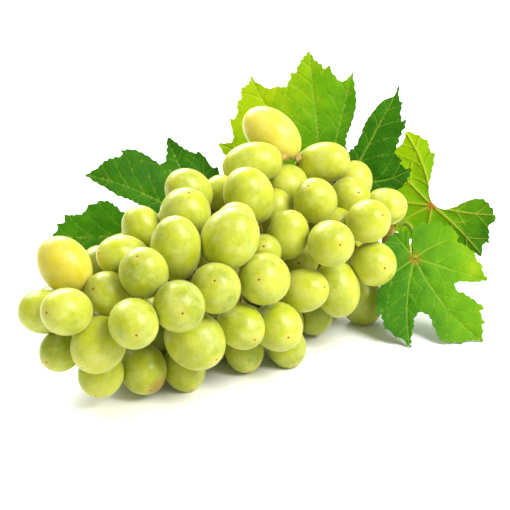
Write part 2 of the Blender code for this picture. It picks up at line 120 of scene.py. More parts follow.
# where the layout's own origin lies in the frame, in millimetres
LAYOUT_ORIGIN = cane_rings()[0] / MM - CANE_TOP


def at(point):
    """A layout point in the frame, in metres."""
    return (Vector(point) + LAYOUT_ORIGIN) * MM


# ---- where the berries are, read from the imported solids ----
class Berry:
    """An egg-round berry: centre, axes (the last one towards the blossom end) and half sizes."""

    def __init__(self, node, centre, axes, half_width, half_length):
        self.node = node
        self.centre = centre
        self.axes = axes
        self.half_width = half_width
        self.half_length = half_length
        self.sizes = np.array([half_width, half_width, half_length])

    def reach(self):
        return max(self.half_width, self.half_length)

    def depth(self, points):
        """For points in metres: under 1 inside the berry, 1 on its skin."""
        local = (points - self.centre) @ self.axes / self.sizes
        return np.sqrt((local ** 2).sum(axis=-1))


def fitted_berry(node, corners):
    """The egg that passes through all these corners, by least squares."""
    middle = corners.mean(axis=0)
    scale = np.abs(corners - middle).max()
    x, y, z = ((corners - middle) / scale).T
    terms = np.stack([x * x, y * y, z * z, 2 * x * y, 2 * x * z, 2 * y * z, 2 * x, 2 * y, 2 * z], axis=1)
    p = np.linalg.lstsq(terms, np.ones(len(x)), rcond=None)[0]
    quadric = np.array([[p[0], p[3], p[4]], [p[3], p[1], p[5]], [p[4], p[5], p[2]]])
    centre = -np.linalg.solve(quadric, p[6:9])
    level = 1 + centre @ quadric @ centre
    values, vectors = np.linalg.eigh(quadric / level)
    halves = scale / np.sqrt(values) / SOLID_SHARE
    along = vectors[:, 0]
    side = vectors[:, 1]
    axes = np.stack([side, np.cross(along, side), along], axis=1)
    return Berry(node, middle + centre * scale, axes, (halves[1] + halves[2]) / 2, halves[0])


def berry_patches(node):
    """The corners of each berry in a node, whose patches of faces end at the creases between berries."""
    bm = welded(node)
    crease = set()
    for edge in bm.edges:
        if len(edge.link_faces) == 2 and edge.calc_face_angle_signed(0.0) < CREASE_ANGLE:
            crease.add(edge.index)
    creased = {v.index for e in bm.edges if e.index in crease for v in e.verts}
    seen = set()
    patches = []
    for face in bm.faces:
        if face.index in seen:
            continue
        stack = [face]
        seen.add(face.index)
        patch = set()
        while stack:
            here = stack.pop()
            patch.update(v.index for v in here.verts)
            for edge in here.edges:
                if edge.index in crease:
                    continue
                for other in edge.link_faces:
                    if other.index not in seen:
                        seen.add(other.index)
                        stack.append(other)
        clean = [i for i in sorted(patch) if i not in creased]
        if len(clean) > FEWEST_CORNERS:
            patches.append(np.array([bm.verts[i].co for i in clean], float))
    bm.free()
    return patches


def read_berries():
    stem_points = np.array([v.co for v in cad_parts["rachis"].data.vertices], float)
    berries = []
    for node in sorted(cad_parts):
        if not node.startswith("berr"):
            continue
        for corners in berry_patches(node):
            berry = fitted_berry(node, corners)
            along = berry.axes[:, 2]
            pole = along * berry.half_length * SOLID_SHARE
            to_plus = np.linalg.norm(stem_points - berry.centre - pole, axis=1).min()
            to_minus = np.linalg.norm(stem_points - berry.centre + pole, axis=1).min()
            if to_plus < to_minus:
                berry.axes = berry.axes @ np.diag([1.0, -1.0, -1.0])
            berries.append(berry)
    return berries


# ---- berries at full detail ----
def ring_angles():
    """Angles from the blossom end to the stem end, closer together near both ends."""
    near = [1.3, 2.6, 3.9, 5.4, 7.2, 9.5, 12.5, 16.5, 21]
    middle = [21 + (159 - 21) * k / 24 for k in range(1, 24)]
    far = [180 - a for a in reversed(near)]
    return [math.radians(a) for a in near + middle + far]


def berry_directions():
    """Unit directions of the skin's corners: the blossom pole, the rings, the stem pole."""
    rows = [(0.0, 0.0, 1.0)]
    for angle in ring_angles():
        for k in range(SEGMENTS):
            turn = math.tau * k / SEGMENTS
            around = math.sin(angle)
            rows.append((around * math.cos(turn), around * math.sin(turn), math.cos(angle)))
    rows.append((0.0, 0.0, -1.0))
    return np.array(rows)


def berry_faces(start):
    rings = len(ring_angles())
    last = start + 1 + rings * SEGMENTS
    faces = []
    for k in range(SEGMENTS):
        nxt = (k + 1) % SEGMENTS
        faces.append((start, start + 1 + k, start + 1 + nxt))
        foot = start + 1 + (rings - 1) * SEGMENTS
        faces.append((last, foot + nxt, foot + k))
    for ring in range(rings - 1):
        near = start + 1 + ring * SEGMENTS
        far = near + SEGMENTS
        for k in range(SEGMENTS):
            nxt = (k + 1) % SEGMENTS
            faces.append((near + k, far + k, far + nxt, near + nxt))
    return faces


def contact_share(berry, skin, others):
    """How far along each spoke the skin lies once the berry presses on its neighbours and the table.

    Two pressed berries share one face. The one further to the front is the firmer and is less dented.
    """
    shares = [np.ones(len(skin))]
    spokes = skin - berry.centre
    for other in others:
        ahead = (berry.centre - other.centre) @ np.array(FRONT) / MM / YIELD_DEPTH
        firmer = math.exp(max(-MOST_FIRMNESS, min(MOST_FIRMNESS, ahead)))
        low = np.full(len(skin), LEAST_REACH)
        high = np.full(len(skin), MOST_REACH)
        for _ in range(HALVINGS):
            middle = (low + high) / 2
            sunk = 1 - other.depth(berry.centre + spokes * middle[:, None])
            inside = sunk > (1 - middle) * firmer
            high = np.where(inside, middle, high)
            low = np.where(inside, low, middle)
        shares.append(low - CONTACT_GAP)
    down = spokes[:, 2] < -1e-6
    to_table = (TABLE_GAP - berry.centre[2]) / np.where(down, spokes[:, 2], -1.0)
    shares.append(np.clip(np.where(down, to_table, MOST_REACH), LEAST_REACH, MOST_REACH))
    stacked = np.stack(shares)
    return -CONTACT_SOFTNESS * np.log(np.exp(-stacked / CONTACT_SOFTNESS).sum(axis=0))


def lumps(directions, seed):
    """Gentle unevenness of one berry, in radii."""
    shift = Vector((seed * 7.13, seed * 3.71, seed * 1.37))
    return np.array([noise.noise(Vector(d) * LUMP_SCALE + shift) for d in directions]) * LUMPS


def shaped_berry(berry, others, directions, seed):
    """The skin's corners in metres, with the scar at one end and the dimple at the other."""
    egg = 1 + lumps(directions, seed)
    from_axis = np.hypot(directions[:, 0], directions[:, 1]) * berry.half_width / MM
    blossom = directions[:, 2] > 0
    blossom_dip, stalk_dip = (depth * np.exp(-(from_axis / radius) ** 2)
                              for depth, radius in zip(DIMPLE_DEPTHS, DIMPLE_RADII))
    dip = np.where(blossom, blossom_dip, stalk_dip)
    nub = np.where(blossom, NUB_HEIGHT * np.exp(-(from_axis / NUB_RADIUS) ** 2), 0.0)
    local = directions * berry.sizes * egg[:, None]
    skin = berry.centre + local @ berry.axes.T
    share = contact_share(berry, skin, others)
    skin = berry.centre + (skin - berry.centre) * share[:, None]
    end = np.where(blossom, 1.0, -1.0)
    return skin - (end * (dip - nub))[:, None] * berry.axes[:, 2] * MM, from_axis, blossom


def berry_object(name, members, berries, directions):
    """One mesh for a node's berries, with the values that its material reads on its corners."""
    points = []
    faces = []
    local = []
    marks = []
    chance = random.Random(name)
    for berry in members:
        seed = berries.index(berry)
        others = [b for b in berries if b is not berry
                  and np.linalg.norm(b.centre - berry.centre) < b.reach() + berry.reach() + MM]
        faces += berry_faces(len(points))
        skin, from_axis, blossom = shaped_berry(berry, others, directions, seed)
        points += list(skin)
        sized = directions * berry.sizes * 100
        local += list(sized + np.array([seed * 5.3, seed * 2.9, seed * 1.7]))
        scar = np.clip(1.6 - from_axis / SCAR_RADIUS, 0, 1) * blossom
        ends = np.exp(-(from_axis / 2.4) ** 2)
        bruise = np.zeros(len(skin))
        if berry.node in BRUISES:
            toward = np.array(BRUISES[berry.node]) / np.linalg.norm(BRUISES[berry.node])
            offset = skin - berry.centre
            facing = offset @ toward / np.linalg.norm(offset, axis=1)
            bruise = np.clip((facing - 0.80) / 0.15, 0, 1)
        # berries further right and higher up lean to the lighter, yellower end of the skin's colours
        right_and_up_share = 0.5 + 0.5 * math.tanh((berry.centre[0] + berry.centre[2]) * 12 - 0.8)
        tint = np.full(len(skin), 0.6 * chance.random() + 0.4 * right_and_up_share)
        marks += list(np.stack([scar, ends, bruise, tint], axis=1))
    centre = members[0].centre
    mesh = bpy.data.meshes.new(name)
    mesh.from_pydata([tuple(p - centre) for p in points], [], faces)
    mesh.shade_smooth()
    local_field = mesh.attributes.new("berry_place", "FLOAT_VECTOR", "POINT")
    local_field.data.foreach_set("vector", np.array(local, np.float32).ravel())
    mark_field = mesh.attributes.new("berry_marks", "FLOAT_COLOR", "POINT")
    mark_field.data.foreach_set("color", np.array(marks, np.float32).ravel())
    made = bpy.data.objects.new(name, mesh)
    made.location = centre
    bpy.context.scene.collection.objects.link(made)
    return made


# ---- materials ----
class Nodes:
    """A material and a short way to write its node tree."""

    def __init__(self, name):
        self.material = bpy.data.materials.new(name)
        self.material.use_nodes = True
        self.tree = self.material.node_tree
        self.shader = self.tree.nodes["Principled BSDF"]

    def add(self, kind, **settings):
        node = self.tree.nodes.new(kind)
        for key, value in settings.items():
            setattr(node, key, value)
        return node

    def link(self, out, into):
        self.tree.links.new(out, into)

    def attribute(self, name):
        return self.add("ShaderNodeAttribute", attribute_name=name)

    def noise(self, vector, scale, detail=3.0, roughness=0.55):
        node = self.add("ShaderNodeTexNoise")
        node.inputs["Scale"].default_value = scale
        node.inputs["Detail"].default_value = detail
        node.inputs["Roughness"].default_value = roughness
        self.link(vector, node.inputs["Vector"])
        return node.outputs["Fac"]

    def stretched(self, vector, scale):
        node = self.add("ShaderNodeMapping")
        node.inputs["Scale"].default_value = scale
        self.link(vector, node.inputs["Vector"])
        return node.outputs["Vector"]

    def ramp(self, value, stops):
        node = self.add("ShaderNodeValToRGB")
        elements = node.color_ramp.elements
        while len(elements) < len(stops):
            elements.new(0.5)
        for element, (place, colour) in zip(elements, stops):
            element.position = place
            element.color = colour
        self.link(value, node.inputs["Fac"])
        return node.outputs["Color"]

    def fade(self, value, low, high, top=1.0):
        """0 below low, rising to top at high."""
        node = self.add("ShaderNodeMapRange", interpolation_type="SMOOTHSTEP")
        node.inputs["From Min"].default_value = low
        node.inputs["From Max"].default_value = high
        node.inputs["To Max"].default_value = top
        self.link(value, node.inputs["Value"])
        return node.outputs["Result"]

    def mix(self, share, first, second, blend="MIX"):
        node = self.add("ShaderNodeMix", data_type="RGBA", blend_type=blend)
        colours = [s for s in node.inputs if s.type == "RGBA"]
        for socket, given in zip([node.inputs["Factor"]] + colours, (share, first, second)):
            if isinstance(given, bpy.types.NodeSocket):
                self.link(given, socket)
            else:
                socket.default_value = given
        return [s for s in node.outputs if s.type == "RGBA"][0]

    def maths(self, operation, first, second):
        node = self.add("ShaderNodeMath", operation=operation)
        for socket, given in zip(node.inputs, (first, second)):
            if isinstance(given, bpy.types.NodeSocket):
                self.link(given, socket)
            else:
                socket.default_value = given
        return node.outputs["Value"]

    def bump(self, height, strength, distance, before=None):
        node = self.add("ShaderNodeBump")
        node.inputs["Strength"].default_value = strength
        node.inputs["Distance"].default_value = distance
        self.link(height, node.inputs["Height"])
        if before is not None:
            self.link(before, node.inputs["Normal"])
        return node.outputs["Normal"]

    def set(self, **values):
        for name, value in values.items():
            self.shader.inputs[name.replace("_", " ")].default_value = value


def skin_material(name, deep, main, light, bloom_share):
    """Grape skin: translucent, softly clouded, with a waxy bloom, specks and the scar at the blossom end."""
    n = Nodes(name)
    place = n.attribute("berry_place").outputs["Vector"]
    marks = n.attribute("berry_marks")
    mark = n.add("ShaderNodeSeparateColor")
    n.link(marks.outputs["Color"], mark.inputs["Color"])
    scar, ends, bruise = mark.outputs
    tint = marks.outputs["Alpha"]
    clouds = n.noise(place, 0.8, 2.0)
    streaks = n.noise(n.stretched(place, (3.0, 3.0, 0.8)), 1.4, 3.0)
    blend = n.maths("ADD", n.maths("MULTIPLY", clouds, 0.55), n.maths("MULTIPLY", streaks, 0.2))
    blend = n.maths("ADD", blend, n.maths("MULTIPLY", tint, 0.25))
    colour = n.ramp(blend, [(0.28, deep), (0.5, main), (0.72, light)])
    mottle = n.noise(place, 5.0, 5.0, 0.7)
    colour = n.mix(n.fade(mottle, 0.4, 0.75, 0.32), colour, light)
    bloom = n.noise(place, 1.5, 6.0, 0.75)
    colour = n.mix(n.fade(bloom, 0.35, 0.8, bloom_share), colour, paint(224, 226, 160))
    colour = n.mix(n.maths("MULTIPLY", ends, 0.5), colour, paint(216, 200, 84))
    patch = n.maths("MULTIPLY", bruise, n.fade(clouds, 0.3, 0.6, 0.75))
    colour = n.mix(patch, colour, paint(158, 116, 38))
    speck = n.add("ShaderNodeTexVoronoi")
    speck.inputs["Scale"].default_value = 4.5
    n.link(place, speck.inputs["Vector"])
    dots = n.maths("SUBTRACT", 1.0, n.fade(speck.outputs["Distance"], 0.05, 0.12))
    chosen = n.add("ShaderNodeSeparateColor")
    n.link(speck.outputs["Color"], chosen.inputs["Color"])
    few = n.fade(chosen.outputs["Red"], 0.86, 0.97, 0.45)
    colour = n.mix(n.maths("MULTIPLY", dots, few), colour, paint(132, 108, 40))
    colour = n.mix(scar, colour, paint(84, 58, 22))
    n.link(colour, n.shader.inputs["Base Color"])
    rough = n.add("ShaderNodeMapRange")
    rough.inputs["To Min"].default_value = 0.26
    rough.inputs["To Max"].default_value = 0.44
    n.link(bloom, rough.inputs["Value"])
    n.link(rough.outputs["Result"], n.shader.inputs["Roughness"])
    n.link(n.bump(mottle, 0.06, 0.0004), n.shader.inputs["Normal"])
    n.set(Subsurface_Weight=0.65, Subsurface_Radius=(1.0, 0.95, 0.45), Subsurface_Scale=0.0035,
          IOR=1.42, Specular_IOR_Level=0.5, Sheen_Weight=0.45, Sheen_Roughness=0.25)
    n.shader.inputs["Sheen Tint"].default_value = paint(255, 252, 220)
    return n.material


def stem_material(name, green, brown, tan):
    n = Nodes(name)
    place = n.add("ShaderNodeTexCoord").outputs["Object"]
    near_berry = n.attribute("near_berry").outputs["Fac"]
    grain = n.noise(n.stretched(place, (260, 260, 260)), 1.0, 5.0, 0.65)
    colour = n.ramp(grain, [(0.35, brown), (0.6, green)])
    colour = n.mix(n.maths("MULTIPLY", near_berry, 0.85), colour, tan)
    warts = n.noise(n.stretched(place, (900, 900, 900)), 1.0, 2.0)
    colour = n.mix(n.fade(warts, 0.6, 0.7, 0.6), colour, paint(78, 52, 24))
    n.link(colour, n.shader.inputs["Base Color"])
    n.link(n.bump(warts, 0.3, 0.0003), n.shader.inputs["Normal"])
    n.set(Roughness=0.62, Subsurface_Weight=0.1, Subsurface_Radius=(1.0, 0.7, 0.3), Subsurface_Scale=0.001)
    return n.material


def cane_material():
    """Pale young bark: fibres along the cane and a reddish line round it near the top."""
    n = Nodes("cane_bark")
    place = n.add("ShaderNodeTexCoord").outputs["Object"]
    fibres = n.noise(n.stretched(place, (900, 900, 90)), 1.0, 5.0, 0.7)
    colour = n.ramp(fibres, [(0.3, paint(116, 88, 32)), (0.5, paint(176, 146, 62)),
                             (0.7, paint(204, 180, 100))])
    axes = n.add("ShaderNodeSeparateXYZ")
    n.link(place, axes.inputs["Vector"])
    off_line = n.maths("ABSOLUTE", n.maths("ADD", axes.outputs["Z"], CANE_LINE_DEPTH), 0.0)
    line = n.maths("SUBTRACT", 1.0, n.fade(off_line, 0.0002, 0.0007))
    colour = n.mix(n.maths("MULTIPLY", line, 0.7), colour, paint(150, 72, 36))
    n.link(colour, n.shader.inputs["Base Color"])
    n.link(n.bump(fibres, 0.5, 0.0004), n.shader.inputs["Normal"])
    n.set(Roughness=0.7)
    return n.material


def leaf_material(name, stops, vein, vein_share):
    """A vine leaf: painted light and shade across the blade with random patches, pale veins and the fine net
    between them.
    """
    n = Nodes(name)
    place = n.attribute("leaf_place").outputs["Vector"]
    marks = n.attribute("leaf_marks_and_shading")
    mark = n.add("ShaderNodeSeparateColor")
    n.link(marks.outputs["Color"], mark.inputs["Color"])
    # the second channel is painted light and shade: the blade lighter where light falls on it, darker where
    # it is shaded
    veins, shading_and_tone, knot = mark.outputs
    patches = n.noise(place, 0.1, 4.0, 0.6)
    shading_and_tone = n.maths("ADD", shading_and_tone, n.maths("MULTIPLY", n.maths("SUBTRACT", patches, 0.5), 0.55))
    colour = n.ramp(shading_and_tone, stops)
    net = n.add("ShaderNodeTexVoronoi", feature="DISTANCE_TO_EDGE")
    net.inputs["Scale"].default_value = 0.6
    n.link(place, net.inputs["Vector"])
    threads = n.maths("SUBTRACT", 1.0, n.fade(net.outputs["Distance"], 0.0, 0.1))
    grain = n.noise(place, 1.6, 3.0)
    colour = n.mix(n.maths("MULTIPLY", threads, 0.07), colour, vein)
    colour = n.mix(n.fade(grain, 0.45, 0.8, 0.2), colour, stops[0][1])
    colour = n.mix(n.maths("MULTIPLY", veins, vein_share), colour, vein)
    colour = n.mix(n.maths("MULTIPLY", knot, 0.9), colour, paint(160, 88, 30))
    n.link(colour, n.shader.inputs["Base Color"])
    raised = n.bump(threads, 0.25, 0.0003)
    n.link(n.bump(grain, 0.2, 0.0003, raised), n.shader.inputs["Normal"])
    n.set(Roughness=0.5, Subsurface_Weight=0.1, Subsurface_Radius=(0.6, 1.0, 0.2), Subsurface_Scale=0.001,
          Specular_IOR_Level=0.06)
    return n.material


# ---- stems ----
def collar_mesh(berry):
    """The swollen foot of a stalk where it sits in the berry's dimple, as corners and faces."""
    profile = [(-0.5, 0.6), (-0.35, 1.6), (0.15, COLLAR_RADIUS), (0.7, 1.75), (1.3, 1.2), (2.2, 1.0),
               (3.0, 0.8)]      # height above the dimple's rim and radius
    sides = 12
    away = -berry.axes[:, 2]
    foot = berry.centre + away * berry.half_length
    points = []
    for height, radius in profile:
        for k in range(sides):
            turn = math.tau * k / sides
            spoke = berry.axes[:, 0] * math.cos(turn) + berry.axes[:, 1] * math.sin(turn)
            points.append(foot + (away * (height - 0.4) + spoke * radius) * MM)
    faces = [tuple(range(sides)), tuple(reversed(range(len(points) - sides, len(points))))]
    for ring in range(len(profile) - 1):
        for k in range(sides):
            nxt = (k + 1) % sides
            near = ring * sides
            faces.append((near + k, near + sides + k, near + sides + nxt, near + nxt))
    return points, faces


def make_stems(berries):
    """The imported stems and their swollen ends, run together into one smooth living surface."""
    bm = welded("rachis")
    for berry in berries:
        points, faces = collar_mesh(berry)
        corners = [bm.verts.new(p) for p in points]
        for face in faces:
            bm.faces.new([corners[i] for i in face])
    bmesh.ops.recalc_face_normals(bm, faces=bm.faces)
    rough = bpy.data.meshes.new("stems_rough")
    bm.to_mesh(rough)
    bm.free()
    draft = bpy.data.objects.new("stems_draft", rough)
    bpy.context.scene.collection.objects.link(draft)
    remesh = draft.modifiers.new("skin", "REMESH")
    remesh.mode = "VOXEL"
    remesh.voxel_size = STEM_VOXEL * MM
    smooth = draft.modifiers.new("smooth", "SMOOTH")
    smooth.factor = 0.5
    smooth.iterations = 5
    depsgraph = bpy.context.evaluated_depsgraph_get()
    mesh = bpy.data.meshes.new_from_object(draft.evaluated_get(depsgraph))
    mesh.name = "stems"
    bpy.data.objects.remove(draft)
    places = np.array([v.co for v in mesh.vertices], float)
    nearest = np.full(len(places), 1.0)
    for berry in berries:
        foot = berry.centre - berry.axes[:, 2] * berry.half_length
        nearest = np.minimum(nearest, np.linalg.norm(places - foot, axis=1))
    near = np.clip(1.4 - nearest / MM / 3.0, 0, 1)
    field = mesh.attributes.new("near_berry", "FLOAT", "POINT")
    field.data.foreach_set("value", near.astype(np.float32))
    mesh.shade_smooth()
    made = bpy.data.objects.new("stems", mesh)
    bpy.context.scene.collection.objects.link(made)
    return made


def smooth_path(points, steps):
    """A smooth curve through the points, with so many steps between neighbours."""
    padded = [points[0] * 2 - points[1]] + points + [points[-1] * 2 - points[-2]]
    path = []
    for i in range(1, len(padded) - 2):
        a, b, c, d = padded[i - 1:i + 3]
        for k in range(steps):
            t = k / steps
            path.append(0.5 * ((2 * b) + (c - a) * t + (2 * a - 5 * b + 4 * c - d) * t * t
                               + (3 * b - a - 3 * c + d) * t * t * t))
    path.append(points[-1])
    return path


def tube(name, path, radius_at, sides, ridges=0.0):
    """A round bar along a path in metres. radius_at gives its radius in mm for a share of its length."""
    bm = bmesh.new()
    side = (path[1] - path[0]).orthogonal().normalized()
    rings = []
    last = len(path) - 1
    for i, point in enumerate(path):
        along = (path[min(i + 1, last)] - path[max(i - 1, 0)]).normalized()
        side = (side - along * side.dot(along)).normalized()
        other = along.cross(side)
        ring = []
        for k in range(sides):
            turn = math.tau * k / sides
            ridge_place = Vector((math.cos(turn) * 2.2, math.sin(turn) * 2.2, i * 0.15))
            uneven = 1 + ridges * noise.noise(ridge_place)
            spoke = side * math.cos(turn) + other * math.sin(turn)
            ring.append(bm.verts.new(point + spoke * radius_at(i / last) * uneven * MM))
        rings.append(ring)
    for near, far in zip(rings, rings[1:]):
        for k in range(sides):
            nxt = (k + 1) % sides
            bm.faces.new((near[k], near[nxt], far[nxt], far[k]))
    bm.faces.new(list(reversed(rings[0])))
    bm.faces.new(rings[-1])
    mesh = bpy.data.meshes.new(name)
    bm.to_mesh(mesh)
    bm.free()
    mesh.shade_smooth()
    mesh.set_sharp_from_angle(angle=math.radians(60))
    return mesh


def make_cane():
    path = smooth_path(cane_rings(), 14)

    def radius(share):
        upper_knot = 0.5 * math.exp(-((share - 0.16) / 0.06) ** 2)
        lower_knot = 0.35 * math.exp(-((share - 0.72) / 0.08) ** 2)
        return 2.9 + 0.3 * share + upper_knot + lower_knot
    made = bpy.data.objects.new("cane_bark", tube("cane_bark", path, radius, 40, 0.12))
    bpy.context.scene.collection.objects.link(made)
    return made


# ---- leaves ----
# joint: where the stalk joins the blade. faces: the way the shown side looks.
# cup: how the blade bends back. ribs: how far the veins stand out of the shown side, or sink into it.
# veins: the tip of each main vein, across and up the blade from the joint, and how far it bows sideways.
# shading_and_tone: painted light and shade on the blade, how light it is at the joint and how that changes
# across it and up it over 50 mm.
LEAVES = {
    "leaf_left": {
        "joint": (-22, 40, 40), "faces": (0.40, -0.84, 0.36), "cup": 0.0016, "ribs": -0.25,
        "veins": [(-75, 10, 0), (-54, 37, -3.5), (-12, 48, 0), (4, 36, 1), (16, 8, 0), (-27, -17, 2),
                  (-7, -18, 0)],
        "shading_and_tone": (0.26, -0.1, -0.1),
        "stalk": [(-21.5, 39.5, 38.5), (-17, 45, 36), (-8, 55, 32), (8, 67, 28), (28, 75, 28),
                  (46, 70, 28), (58, 57, 29), (63.1, 45.3, 29)],
    },
    "leaf_back": {
        "joint": (34, 68, 52), "faces": (0.05, -0.97, 0.22), "cup": 0.0012, "ribs": -0.25,
        "veins": [(-51, 24, 0), (-35, 56, 1.5), (-6, 68, 0), (15, 57, 0), (15, 10, 0), (-34, 1, 0)],
        "shading_and_tone": (0.36, -0.45, 0.3),
        "stalk": [(34, 67.8, 50), (37, 71, 48), (44, 73, 46), (53, 67, 42), (57, 57, 40),
                  (61, 49, 38.5), (64.3, 44.3, 37.2)],
    },
    "leaf_upper_right": {
        "joint": (47, 65, 59), "faces": (-0.05, -0.96, 0.28), "cup": 0.0010, "ribs": -0.25,
        "veins": [(23, 45, 0), (29, 5, -3), (-9, -5, 0), (13, -9, 0)],
        "shading_and_tone": (0.14, 0.0, 0.15),
        "stalk": [(47, 64.6, 57), (50, 68, 56), (56, 67, 52), (60, 57, 47), (62, 49, 43.5),
                  (65.3, 42.8, 42)],
    },
    "leaf_right": {
        "joint": (88, 66, 45), "faces": (-0.16, -0.93, 0.33), "cup": 0.0010, "ribs": 0.45,
        "veins": [(-15, 35, -2.5), (-19, 17, 0), (-23, 1, 0), (-21, -12, 0), (-2, -18, 0), (25, -22, 1),
                  (31, -3, -1)],
        "shading_and_tone": (0.5, -0.6, 0.35),
        "stalk": [(86, 65.8, 44), (87.5, 69, 41), (84, 71, 31), (77, 63, 22), (68.3, 45.7, 24.6)],
    },
    "leaf_front": {
        "joint": (76, 22, 34.5), "faces": (0.137, -0.779, 0.611), "cup": 0.0, "ribs": -0.25,
        "veins": [(33, -13, 0), (26, -42, -3.2), (-8, -42, -2.4), (-19, -11, 0), (22, 9, 1.3),
                  (-8, 12, 0)],
        "shading_and_tone": (0.45, 0.5, 0.05),
        "stalk": [(75.8, 22.5, 33.6), (76, 26.5, 37), (76.3, 30.5, 41), (75, 34.5, 45),
                  (72.5, 36.8, 46.6), (69, 37.5, 45.6)],
    },
}
SIDE_VEIN_STEP = 8.5
SIDE_VEIN_REACH = 26
MAIN_VEIN = (0.36, 0.1)   # its half width at its start and at its tip
SIDE_VEIN = (0.17, 0.08)
TOOTH_STEP = 0.45
TOOTH_LENGTH = 3.6
TOOTH_HEIGHT = 1.0


def leaf_axes(leaf):
    """The leaf's own directions: across to the right, up the blade, and out of its shown side."""
    out = Vector(leaf["faces"]).normalized()
    across = Vector((0, 0, 1)).cross(out).normalized()
    return across, out.cross(across), out


def blade_rim(node, leaf):
    """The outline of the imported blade's shown side, in millimetres across and up from the joint."""
    across, up, out = leaf_axes(leaf)
    joint = at(leaf["joint"])
    bm = welded(node)
    flat = {}
    for vertex in bm.verts:
        offset = (vertex.co - joint) / MM
        x, y = offset.dot(across), offset.dot(up)
        lift = offset.dot(out) + leaf["cup"] * (x * x + y * y)
        if abs(lift - SOLID_LEAF_THICKNESS / 2) < 0.05:
            flat[vertex.index] = (x, y)
    shown = {f.index for f in bm.faces if all(v.index in flat for v in f.verts)}
    beyond = {}
    for edge in bm.edges:
        if sum(f.index in shown for f in edge.link_faces) == 1:
            a, b = (v.index for v in edge.verts)
            beyond.setdefault(a, []).append(b)
            beyond.setdefault(b, []).append(a)
    bm.free()
    loops = []
    left = set(beyond)
    while left:
        here = min(left)
        loop = []
        while here is not None:
            left.discard(here)
            loop.append(here)
            here = next((i for i in sorted(beyond[here]) if i in left), None)
        loops.append(loop)
    longest = max(loops, key=len)
    return [flat[i] for i in longest]


def signed_area(outline):
    return sum(a[0] * b[1] - b[0] * a[1] for a, b in zip(outline, outline[1:] + outline[:1])) / 2


def softened(outline, rounds=3):
    """The outline with its hollows and long sides rounded and its teeth left pointed."""
    points = [Vector(p) for p in outline]
    if signed_area(outline) < 0:
        points.reverse()
    marked = []
    for i, here in enumerate(points):
        before = points[i - 1] - here
        after = points[(i + 1) % len(points)] - here
        convex = after.x * before.y - after.y * before.x > 0
        marked.append((here, convex and before.angle(after, 0.0) < math.radians(125)))
    for _ in range(rounds):
        cut = []
        for i, (here, sharp) in enumerate(marked):
            if sharp:
                cut.append((here, True))
                continue
            cut.append((here.lerp(marked[i - 1][0], 0.25), False))
            cut.append((here.lerp(marked[(i + 1) % len(marked)][0], 0.25), False))
        marked = cut
    return [p for p, _ in marked]


def toothed(rim, seed):
    """The outline with small pointed teeth of uneven height, none of them close to the stalk."""
    found = []
    run = 0.0
    for here, after in zip(rim, rim[1:] + rim[:1]):
        way = after - here
        outward = Vector((way.y, -way.x)).normalized()
        steps = max(1, int(way.length / TOOTH_STEP))
        for k in range(steps):
            point = here.lerp(after, k / steps)
            place = run + way.length * k / steps
            uneven = noise.noise(Vector((place * 0.11, seed * 4.7, 0.0)))
            phase = (place / TOOTH_LENGTH + uneven) % 1.0
            rise = phase / 0.7 if phase < 0.7 else (1 - phase) / 0.3
            clear = min(1.0, max(0.0, (point.length - 7) / 5))
            height = TOOTH_HEIGHT * (0.75 + noise.noise(Vector((place * 0.07, seed * 2.9, 5.0)))) * clear
            found.append(point + outward * max(0.0, height) * (rise - 0.3))
        run += way.length
    return found


def inside(points, outline):
    """Which points lie inside the outline, by counting the edges to their right."""
    x, y = points[:, 0], points[:, 1]
    odd = np.zeros(len(points), bool)
    for a, b in zip(outline, outline[1:] + outline[:1]):
        if a.y == b.y:
            continue
        crosses = (a.y > y) != (b.y > y)
        odd ^= crosses & (x < a.x + (y - a.y) * (b.x - a.x) / (b.y - a.y))
    return odd


def to_segments(points, starts, ends):
    """The distance from each point to each line segment, and how far along it the foot lies."""
    way = ends - starts
    length = np.maximum((way ** 2).sum(axis=1), 1e-9)
    offset = points[:, None, :] - starts[None]
    share = np.clip((offset * way).sum(axis=2) / length, 0, 1)
    foot = starts[None] + share[..., None] * way
    return np.linalg.norm(points[:, None, :] - foot, axis=2), share


def bowed(start, end, bow, count):
    """A line from start to end that stands out sideways by the bow in its middle."""
    side = Vector((-(end - start).y, (end - start).x)).normalized()
    shares = [k / count for k in range(count + 1)]
    return [start.lerp(end, share) + side * bow * 4 * share * (1 - share) for share in shares]


def side_veins(main, mains, rim):
    """Veins that leave a main vein on both sides and curve towards the blade's edge."""
    found = []
    length = (main[-1] - main[0]).length
    count = max(2, int(length / SIDE_VEIN_STEP))
    for k in range(1, count):
        share = (k + 0.3) / (count + 0.3)
        here = min(int(share * (len(main) - 1)), len(main) - 2)
        start = main[here]
        along = (main[here + 1] - main[here]).normalized()
        for hand in (-1, 1):
            angle = hand * math.radians(52 - 12 * share)
            way = Vector((along.x * math.cos(angle) - along.y * math.sin(angle),
                          along.x * math.sin(angle) + along.y * math.cos(angle)))
            reach = 2.0
            while reach < SIDE_VEIN_REACH:
                tip = np.array([start + way * reach])
                if not inside(tip, rim)[0]:
                    break
                own = reach * 0.72
                others = [o for o in mains if o is not main]
                near = min((Vector(tip[0]) - p).length for o in others for p in o[1:])
                if near < own * 0.55:
                    break
                reach += 1.0
            if reach > 4:
                found.append(bowed(start, start + way * (reach - 0.5), -hand * reach * 0.06, 5))
    return found


